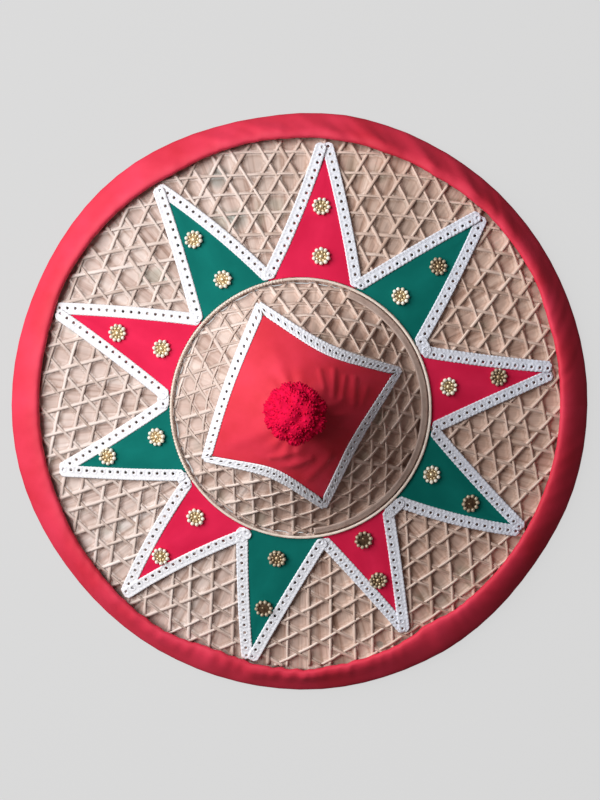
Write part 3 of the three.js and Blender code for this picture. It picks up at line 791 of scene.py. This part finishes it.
# Cloth star: ten triangles of cotton, red and green by turns, laid on the lattice with their feet
# under the hoop. Eyelet lace is sewn along both long edges of each and folded over at the tip. At
# the hoop it turns from one triangle into the next, with a short piece where they stand apart.
STAR_LIFT = 0.35 * MM
STAR_CLOTH = 0.4 * MM
STAR_FOOT = 100.2 * MM
LACE_FOOT = 105 * MM
LACE_WIDTH = 8.8 * MM
LACE_UNDER = 2.6 * MM
LACE_THICKNESS = 0.5 * MM
LACE_LIFT = 1.0 * MM
LACE_APART = 6 * MM
LACE_LAP = 2.5 * MM
LACE_OVER = 0.9 * MM
# Length and start before the foot, in shares of a side, of the lace and of the cloth
LACE_SHARE, LACE_BEFORE = 1.05, 0.035
CLOTH_SHARE, CLOTH_BEFORE = 1.03, 0.06
LACE_ROUNDED = 3.5 * MM
EYELET_PITCH = 6.4 * MM
EYELET_RADIUS = 1.0 * MM
# Raise and half width of the stitched ring round a hole and of the cord along each edge
RING_RADIUS, RING_RAISE, RING_HALF = 1.75 * MM, 0.5 * MM, 0.5 * MM
CORD_PLACE, CORD_RAISE, CORD_HALF = 0.4, 0.6 * MM, 0.7 * MM
SCALLOP, SCALLOP_START, SCALLOP_BREADTH = 0.65 * MM, 0.28, 0.22
STEPS_A_PITCH = 8
LACE_ROWS = 11
HOLE_ROW_START, HOLE_ROW_MIDDLE, HOLE_ROW_END = 6, 5, 4
WRINKLE, WRINKLES_A_METRE = 0.35 * MM, 45
SLOPE_SHARE = 1.05
STAR_POINTS = [
    # tip angle and radius, then for the side that it starts with and the side that it ends with:
    # angle of the foot, how far the side bows outward and how far its end stands out at the tip
    (85.2, 202.6, 66.5, 1.5, 3.8, 103.1, -2.1, 0.8),
    (46.9, 202, 29.7, 1.4, 3.2, 64.4, 0.8, 0.6),
    (8.1, 196, -7.4, -0.4, 3.2, 24.3, -1.0, 3.2),
    (-29.4, 197, -43.3, 2.6, 1.7, -10.3, -1.0, 2.6),
    (-65.2, 195, -79.6, -0.6, 0.0, -50.2, 0.5, 0.0),
    (258.8, 203, 244.6, 1.1, 2.8, 278.7, -0.7, 1.6),
    (226.8, 202, 213.4, 2.4, -0.3, 246.4, -2.8, 1.0),
    (194.6, 193, 178.4, -1.0, 0, 209.1, 0.8, 1.4),
    (159.3, 202, 139.6, 1.2, 5.2, 173.8, -0.9, -1.2),
    (123.2, 201, 104.6, 2.4, 1.4, 138.6, -0.9, -0.2),
]


def lace_finish():
    finish, shader = new_finish(
        "white_lace", Roughness=0.85, Specular_IOR_Level=0.1, Sheen_Weight=0.1)
    uv = add_node(finish, "ShaderNodeUVMap").outputs["UV"]
    threads = stretched_noise(finish, uv, (1500, 1500, 1), 2)
    colour = colour_steps(finish, threads, [(0.3, (0.89, 0.93, 0.97)), (0.6, (0.98, 0.99, 1))])
    # Painted shade: the lace is warm at its left, on the lamp's side, and bluer and darker at its
    # right
    colour = painted_shade_across(finish, colour, 1, [
        (0, (1, 0.97, 0.97)), (0.4, (0.98, 0.97, 0.99)), (1, (0.9, 0.92, 1)),
    ])
    braid = add_node(finish, "ShaderNodeTexWave", {
        "Vector": uv, "Scale": 190, "Distortion": 3, "Detail": 1, "Detail Scale": 900},
        bands_direction="DIAGONAL")
    # Painted shade in the braid's grooves: they are darker and bluer
    braid_groove_shade = colour_steps(
        finish, braid.outputs["Fac"], [(0.1, (0.85, 0.88, 0.94)), (0.4, (1, 1, 1))])
    paint(finish, shader, multiply(finish, 0.6, colour, braid_groove_shade))
    stitched = relief(finish, shader, braid.outputs["Fac"], 0.3, 0.3 * MM)
    relief(finish, shader, threads, 0.4, 0.3 * MM, stitched)
    return finish


# A strip of eyelet lace: a row of holes with a raised stitched ring round each, both edges corded
# and scalloped, both ends rounded off. track(s) gives its middle and outward side at a distance s
def add_lace(bm, length, track, height_at, lift_at, hole_row):
    pitches = max(2, round(length / EYELET_PITCH))
    pitch = length / pitches
    steps = pitches * STEPS_A_PITCH
    hole_across = (hole_row / LACE_ROWS - 0.5) * LACE_WIDTH

    def place(u, v):
        s = u * length
        across = (v - 0.5) * LACE_WIDTH
        along_hole = ((s / pitch) % 1 - 0.5) * pitch
        away = math.hypot(along_hole, across - hole_across)
        ring = RING_RAISE * math.exp(-((away - RING_RADIUS) / RING_HALF) ** 2)
        stitch = 0.5 + 0.5 * math.sin(s / pitch * math.tau * 2)
        off_cord = (abs(across) - CORD_PLACE * LACE_WIDTH) / CORD_HALF
        cord = CORD_RAISE * stitch * math.exp(-off_cord ** 2)
        edge = smooth_step((abs(across) / LACE_WIDTH - SCALLOP_START) / SCALLOP_BREADTH)
        scallop = abs(math.sin(s / pitch * math.pi)) - 0.6
        if 0.01 * MM < away < EYELET_RADIUS:
            shift = EYELET_RADIUS / away
            s += along_hole * (shift - 1)
            across = hole_across + (across - hole_across) * shift
        across += math.copysign(edge * SCALLOP * scallop, across)
        end = min(s, length - s) / LACE_ROUNDED
        if end < 1:
            across *= math.sqrt(max(0.12, 1 - (1 - end) ** 2))
        middle, outward = track(s)
        spot = middle + outward * across
        return point_over(height_at, spot.x, spot.y, lift_at(u) + ring + cord)

    made = add_sheet(bm, steps, LACE_ROWS, place, size=(length, LACE_WIDTH))
    first_hole = STEPS_A_PITCH // 2 + hole_row * (steps + 1)
    ordered = sorted(made, key=lambda vert: vert.index)
    holes = [ordered[first_hole + k * STEPS_A_PITCH] for k in range(pitches)]
    bmesh.ops.delete(bm, geom=holes, context="VERTS")


# The middle of the lace along one side of a triangle, and that side's length
def star_side(foot_angle, bow, stand_out, tip, side):
    foot = from_polar(math.radians(foot_angle), LACE_FOOT)
    across = Vector((foot.y - tip.y, tip.x - foot.x, 0)).normalized() * side
    end = tip + across * stand_out * MM

    def middle(t):
        return foot.lerp(end, t) + across * (bow * MM * 4 * t * (1 - t))

    return middle, (end - foot).length


# Middle and outward side of the lace at a share of its way from foot to tip
def lace_track(middle, t, side):
    run = (middle(t + 0.01) - middle(t - 0.01)).normalized()
    return middle(t), Vector((-run.y, run.x, 0)) * side


white_lace = lace_finish()
star_red = cloth_finish(
    "red_star_cotton", (0.74, 0.012, 0.066), (0.9, 0.024, 0.098), 0.8, 0.4 * MM, 0.12)
star_green = cloth_finish(
    "green_star_cotton", (0.002, 0.15, 0.125), (0.005, 0.205, 0.172), 0.8, 0.4 * MM, 0.08)
for number, (tip_angle, tip_radius, *ends) in enumerate(STAR_POINTS, 1):
    tip = from_polar(math.radians(tip_angle), tip_radius * MM)
    start_middle, start_length = star_side(*ends[:3], tip, -1)
    end_middle, end_length = star_side(*ends[3:], tip, 1)

    def cloth_place(u, v):
        t = CLOTH_SHARE * u - CLOTH_BEFORE
        start_spot, start_out = lace_track(start_middle, t, -1)
        end_spot, end_out = lace_track(end_middle, t, 1)
        start_spot -= start_out * (LACE_WIDTH / 2 - LACE_UNDER)
        end_spot -= end_out * (LACE_WIDTH / 2 - LACE_UNDER)
        if (end_spot - start_spot).dot(end_out) < 0:
            start_spot = end_spot = (start_spot + end_spot) / 2
        spot = start_spot.lerp(end_spot, v)
        spot *= max(spot.length, STAR_FOOT) / spot.length
        wrinkle = WRINKLE * noise.noise(
            Vector((spot.x * WRINKLES_A_METRE, spot.y * WRINKLES_A_METRE, number)))
        return point_over(brim_height, spot.x, spot.y, STAR_LIFT + STAR_CLOTH + wrinkle)

    colour, finish = ("red", star_red) if number % 2 else ("green", star_green)
    bm = bmesh.new()
    add_sheet(bm, 44, 26, cloth_place, size=(0.1, 0.06))
    bmesh.ops.remove_doubles(bm, verts=bm.verts, dist=0.01 * MM)
    face_up(bm)
    cloth = add_piece(f"star_cloth_{number:02d}", bm, [finish])
    thicken(cloth, STAR_CLOTH)
    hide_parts(f"star_{colour}_{number:02d}")

    bm = bmesh.new()
    for middle, length, side, row in ((start_middle, start_length, -1, HOLE_ROW_START),
                                      (end_middle, end_length, 1, HOLE_ROW_END)):
        over = LACE_OVER if side > 0 else 0

        def lift_at(u):
            return LACE_LIFT + over * (smooth_step((u - 0.8) / 0.1) + 1 - smooth_step(u / 0.08))

        add_lace(bm, length * LACE_SHARE,
                 lambda s: lace_track(middle, s / length - LACE_BEFORE, side),
                 brim_height, lift_at, row)

    here, there = math.radians(ends[0]), math.radians(STAR_POINTS[number % len(STAR_POINTS)][5])
    apart = ((here - there + math.pi) % math.tau - math.pi) * LACE_FOOT
    if apart > LACE_APART:

        def join_track(s):
            out = from_polar(here + (LACE_LAP - s) / LACE_FOOT, 1)
            return out * LACE_FOOT, out

        add_lace(bm, apart + 2 * LACE_LAP, join_track, brim_height,
                 lambda u: LACE_LIFT + LACE_THICKNESS, HOLE_ROW_MIDDLE)
    turn_strips_up(bm)
    lace = add_piece(f"lace_{number:02d}", bm, [white_lace])
    thicken(lace, LACE_THICKNESS)
    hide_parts(f"star_lace_{number:02d}")
    height = (tip_radius * MM - STAR_FOOT) * SLOPE_SHARE

# Flower ornaments: two on each triangle, of thin gold-coloured metal. Ten pearly beads stand in a
# ring round eight small gold domes and a raised stone, all on a plate sewn to the cloth. Some on
# the side away from the lamp take darker copies of the finishes, painted shade, and three have lost
# their middle.
FLOWER_LIFT = 1.15 * MM
PLATE_RADIUS = 6.3 * MM
PLATE_HEIGHT = 0.9 * MM
BEADS, BEAD_RING, BEAD_RADIUS = 10, 5.7 * MM, 1.6 * MM
DOMES, DOME_RING, DOME_RADIUS = 8, 3.4 * MM, 1.2 * MM
STONE_RADIUS = 1.9 * MM
STUB_RADIUS = 0.8 * MM
FLOWER_TILT = 0.09
FLOWERS = [
    # angle and radius of the inner one, then of the outer one
    (82.4, 116.6, 84.2, 154.8), (48.5, 113.9, 45.8, 151.1), (8.4, 113.8, 8.8, 154.3),
    (-26.9, 112.2, -29.5, 151), (-64.6, 112, -65.9, 147.3), (261, 117.1, 259.6, 159.7),
    (226, 116.2, 226.8, 159), (191.1, 112.2, 194.1, 153.8), (156.7, 115.3, 157.7, 151.9),
    (121.1, 114.6, 122.4, 152.5),
]
HOLLOW_FLOWERS = {"inner_05", "outer_04", "outer_06"}
# Flowers on the side away from the lamp, which get the darker finishes: painted shade
SHADED_FLOWERS = {"outer_02", "outer_03", "outer_05", "inner_06", *HOLLOW_FLOWERS}


def metal_finish(name, dull, bright, metallic, roughness):
    return speckled_finish(name, [(0.35, dull), (0.6, bright)], 420, 3, 0.25, 0.2 * MM,
                           Metallic=metallic, Roughness=roughness)


def add_ball(bm, place, middle, radius, finish, flat=1.0):
    spot = place @ Matrix.Translation(middle) @ Matrix.Diagonal((radius, radius, radius * flat, 1))
    made = bmesh.ops.create_icosphere(bm, subdivisions=2, radius=1, matrix=spot)
    for face in {face for vert in made["verts"] for face in vert.link_faces}:
        face.material_index = finish


def flower(name, angle, radius, draw):
    spot = from_polar(math.radians(angle), radius * MM)
    up = Vector((BRIM_SLOPE * spot.x, BRIM_SLOPE * spot.y, spot.length)).normalized()
    up += Vector((draw.uniform(-1, 1), draw.uniform(-1, 1), 0)) * FLOWER_TILT
    place = (
        Matrix.Translation(point_over(brim_height, spot.x, spot.y, FLOWER_LIFT))
        @ up.to_track_quat("Z", "Y").to_matrix().to_4x4()
        @ Matrix.Rotation(draw.uniform(0, math.tau), 4, "Z")
    )
    bm = bmesh.new()
    bmesh.ops.create_cone(
        bm, cap_ends=True, segments=20, radius1=PLATE_RADIUS, radius2=PLATE_RADIUS * 0.8,
        depth=PLATE_HEIGHT, matrix=place @ Matrix.Translation((0, 0, PLATE_HEIGHT / 2)))
    for k in range(BEADS):
        middle = from_polar(math.tau * k / BEADS, BEAD_RING, BEAD_RADIUS * draw.uniform(0.75, 1.0))
        add_ball(bm, place, middle, BEAD_RADIUS * draw.uniform(0.9, 1.05), 1)
    if name in HOLLOW_FLOWERS:
        add_ball(bm, place, Vector((0.5, 0.8, 0.9)) * MM, STUB_RADIUS, 2, 0.6)
    else:
        for k in range(DOMES):
            middle = from_polar(math.tau * (k + 0.5) / DOMES, DOME_RING, PLATE_HEIGHT)
            add_ball(bm, place, middle, DOME_RADIUS * draw.uniform(0.85, 1.05), 2, 0.9)
        add_ball(bm, place, Vector((0, 0, PLATE_HEIGHT)), STONE_RADIUS, 2, 0.8)
    # Darker copies of the finishes on the flowers in shade: painted shade
    finishes = [gold_plate, pearly_bead, gold_metal]
    if name in SHADED_FLOWERS:
        finishes = [shaded_plate, shaded_bead, shaded_gold]
    piece = add_piece(f"gold_flower_{name}", bm, finishes)
    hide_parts(f"flower_{name}")


# The dark plate, bead and gold are painted shade, for flowers on the side away from the lamp
shaded_plate = metal_finish("shaded_plate", (0.08, 0.045, 0.025), (0.18, 0.11, 0.06), 0.4, 0.5)
gold_plate = metal_finish("gold_plate", (0.26, 0.17, 0.08), (0.5, 0.36, 0.19), 0.4, 0.5)
pearly_bead = metal_finish("pearly_bead", (0.88, 0.8, 0.62), (0.99, 0.96, 0.86), 0.05, 0.3)
gold_metal = metal_finish("flower_gold", (0.74, 0.57, 0.32), (0.97, 0.83, 0.56), 0.7, 0.4)
shaded_bead = metal_finish("shaded_bead", (0.32, 0.25, 0.17), (0.56, 0.47, 0.34), 0.2, 0.4)
shaded_gold = metal_finish("shaded_flower_gold", (0.44, 0.32, 0.18), (0.64, 0.5, 0.32), 0.7, 0.45)
draw = random.Random(21)
for number, (inner_angle, inner_radius, outer_angle, outer_radius) in enumerate(FLOWERS, 1):
    flower(f"inner_{number:02d}", inner_angle, inner_radius, draw)
    flower(f"outer_{number:02d}", outer_angle, outer_radius, draw)

# Crown patch: a square of red cotton draped over the tip of the crown with its corners pulled down
# and its sides drawn in, so that folds run out from under the pompom. Eyelet lace frames it.
PATCH_LIFT = 0.35 * MM
PATCH_CLOTH = 0.45 * MM
PATCH_STEPS = 120
PATCH_LACE_LIFT = 0.75 * MM
PATCH_EDGE = 0.1
GATHERS, GATHER_RAISE, GATHER_RADIUS, GATHER_BREADTH = 13, 0.4 * MM, 26 * MM, 9 * MM
PATCH_CREASE, PATCH_CREASES_A_METRE = 0.4 * MM, 55
PATCH_CORNERS = [
    # angle, radius of the cloth's corner and the lace's, how far the side from here draws in
    (111.5, 76.5, 88.5, -2), (207, 74.5, 84.5, 11), (283.5, 66.5, 77.5, 5.5), (22, 73, 83, 7),
]
PATCH_FOLDS = [
    # one end, other end, half width and raise in plan, all in mm
    (13, 31, 15, 19, 2.0, 0.6), (23, 31, 22, 14, 2.6, 1.0), (31, 26, 28, 12, 2.2, 0.7),
    (38, 25, 37, 8, 2.8, 0.9), (47, 18, 44, 6, 2.6, 0.5), (-22, -31, -4, -25, 2.8, 0.9),
    (-14, -39, 6, -31, 3.2, 1.1), (4, -48, 20, -30, 3.8, 0.9), (30, -22, 44, -14, 4.5, 0.9),
    (-40, 18, -22, 14, 6, 0.8), (-20, 45, -12, 26, 6, 0.9), (-30, -14, -48, -22, 5, 0.7),
]


# A side of the patch at the cloth's edge (column 1) or at the lace's outer edge (column 2)
def patch_side(number, column):
    here, there = PATCH_CORNERS[number], PATCH_CORNERS[(number + 1) % 4]
    start = from_polar(math.radians(here[0]), here[column] * MM)
    end = from_polar(math.radians(there[0]), there[column] * MM)

    def along(t):
        spot = start.lerp(end, t)
        return spot - spot.normalized() * (here[3] * MM * 4 * t * (1 - t))

    return along


def patch_fold_height(spot):
    raised = 0.0
    for x1, y1, x2, y2, width, lift in PATCH_FOLDS:
        start, end = Vector((x1, y1)) * MM, Vector((x2, y2)) * MM
        run = end - start
        t = (spot.xy - start).dot(run) / run.length_squared
        off = (spot.xy - start - run * min(1, max(0, t))).length / (width * MM)
        raised += lift * MM * math.exp(-off * off)
    angle = math.atan2(spot.y, spot.x)
    gather = 1 + math.cos(GATHERS * angle + 2 * math.sin(3 * angle))
    gather *= GATHER_RAISE * math.exp(-((spot.length - GATHER_RADIUS) / GATHER_BREADTH) ** 2)
    return raised + gather + PATCH_CREASE * noise.noise(spot * PATCH_CREASES_A_METRE)


def patch_place(u, v):
    along_u = sides[0](u).lerp(sides[2](1 - u), v)
    along_v = sides[3](1 - v).lerp(sides[1](v), u)
    corners = sides[0](0).lerp(sides[0](1), u).lerp(sides[2](1).lerp(sides[2](0), u), v)
    spot = along_u + along_v - corners
    inside = smooth_step(min(u, v, 1 - u, 1 - v) / PATCH_EDGE)
    rise = PATCH_LIFT + PATCH_CLOTH + inside * patch_fold_height(spot)
    return point_over(crown_height, spot.x, spot.y, rise)


sides = [patch_side(number, 1) for number in range(4)]
lace_sides = [patch_side(number, 2) for number in range(4)]
patch_red = cloth_finish(
    "red_patch_cotton", (0.7, 0.016, 0.036), (0.86, 0.034, 0.08), 0.7, 0.4 * MM, 0.5)
bm = bmesh.new()
add_sheet(bm, PATCH_STEPS, PATCH_STEPS, patch_place, size=(0.15, 0.13))
face_up(bm)
patch = add_piece("patch_cloth", bm, [patch_red])
thicken(patch, PATCH_CLOTH)
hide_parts("crown_patch")

bm = bmesh.new()
for cloth_side, lace_side in zip(sides, lace_sides):
    length = (lace_side(1) - lace_side(0)).length * LACE_SHARE

    def patch_track(s):
        t = s / length
        inner, outer = cloth_side(t), lace_side(t)
        return inner.lerp(outer, 0.5), (outer - inner) / LACE_WIDTH

    add_lace(bm, length, patch_track, crown_height,
             lambda u: PATCH_LACE_LIFT + LACE_THICKNESS, HOLE_ROW_MIDDLE)
bmesh.ops.remove_doubles(bm, verts=bm.verts, dist=0.01 * MM)
turn_strips_up(bm)
patch_lace = add_piece("patch_lace_strip", bm, [white_lace])
thicken(patch_lace, LACE_THICKNESS)
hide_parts("patch_lace")

# Pompom: crimson wool yarn, tied in the middle and cut, sewn on over the tip of the crown. The cut
# ends stand out in lobes round a firm head.
POMPOM_MIDDLE = Vector((-5, 4, 136.5)) * MM
POMPOM_HEAD = 18.3 * MM
POMPOM_FLAT = 0.86
YARN_ENDS = 1800
YARN_RADIUS = 1.35 * MM
YARN_FOOT = POMPOM_HEAD * 0.85
YARN_TIP = 19.7 * MM
YARN_LENGTHS = (0.96, 1.01)
YARN_BENDS = (0.5, 2.2)
YARN_SAG = 1.2 * MM
YARN_COVERS = 1.75
LOBE_SPREAD = 0.04
LOBES = [
    # turn and rise of each lobe in degrees, how far it stands out in mm
    (12, 10, 3.4), (44, 22, 2.6), (78, 12, 2.2), (108, 20, 3.2), (140, 10, 2.4), (170, 20, 3.6),
    (202, 8, 2.6), (236, 18, 3.2), (270, 10, 4.2), (300, 16, 2.8), (334, 22, 5.0), (80, 55, 3.4),
    (150, 52, 3.0), (215, 55, 3.4), (275, 50, 2.6), (330, 56, 3.8), (20, 55, 3.0), (180, 82, 3.2),
]


# How far the yarn stands out beyond the plain round in a direction
def lobe_height(out):
    stands = 0.0
    for turn, rise, height in LOBES:
        toward = from_polar(math.radians(turn), math.cos(math.radians(rise)),
                            math.sin(math.radians(rise)))
        stands = max(stands, height * math.exp(-((1 - out.dot(toward)) / LOBE_SPREAD) ** 2))
    return stands * MM


crimson_yarn = speckled_finish(
    "crimson_yarn", [(0.3, (0.68, 0.001, 0.038)), (0.6, (0.82, 0.002, 0.06))], 300, 4, 0.6,
    0.4 * MM, Roughness=0.85, Specular_IOR_Level=0.15, Sheen_Weight=0.3,
    Sheen_Tint=(1, 0.002, 0.08, 1))
bm = bmesh.new()
head = bmesh.ops.create_icosphere(bm, subdivisions=4, radius=POMPOM_HEAD)
for vert in head["verts"]:
    vert.co += vert.co.normalized() * lobe_height(vert.co.normalized())
draw = random.Random(31)
golden = math.pi * (3 - math.sqrt(5))
for k in range(YARN_ENDS):
    height = 1 - YARN_COVERS * (k + 0.5) / YARN_ENDS
    out = from_polar(k * golden, math.sqrt(1 - height * height), height)
    side = out.orthogonal().normalized()
    side.rotate(Quaternion(out, draw.uniform(0, math.tau)))
    reach = (YARN_TIP + lobe_height(out)) * draw.uniform(*YARN_LENGTHS)
    bend = draw.uniform(*YARN_BENDS) * MM

    def yarn_place(u, v):
        along = YARN_FOOT + (reach - YARN_FOOT) * u
        middle = out * along + side * bend * u * u - Vector((0, 0, YARN_SAG * u * u))
        thick = YARN_RADIUS * (1 - 0.5 * u ** 4)
        around = v * math.tau
        across = side * math.cos(around) + out.cross(side) * math.sin(around)
        return middle + across * thick

    add_sheet(bm, 4, 4, yarn_place, size=(0.01, 0.005))
close_bars(bm, 0.002 * MM, 4)
bmesh.ops.scale(bm, vec=(1, 1, POMPOM_FLAT), verts=bm.verts)
bmesh.ops.translate(bm, vec=hat_axis + POMPOM_MIDDLE, verts=bm.verts)
pompom = add_piece("yarn_pompom", bm, [crimson_yarn])
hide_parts("pompom")
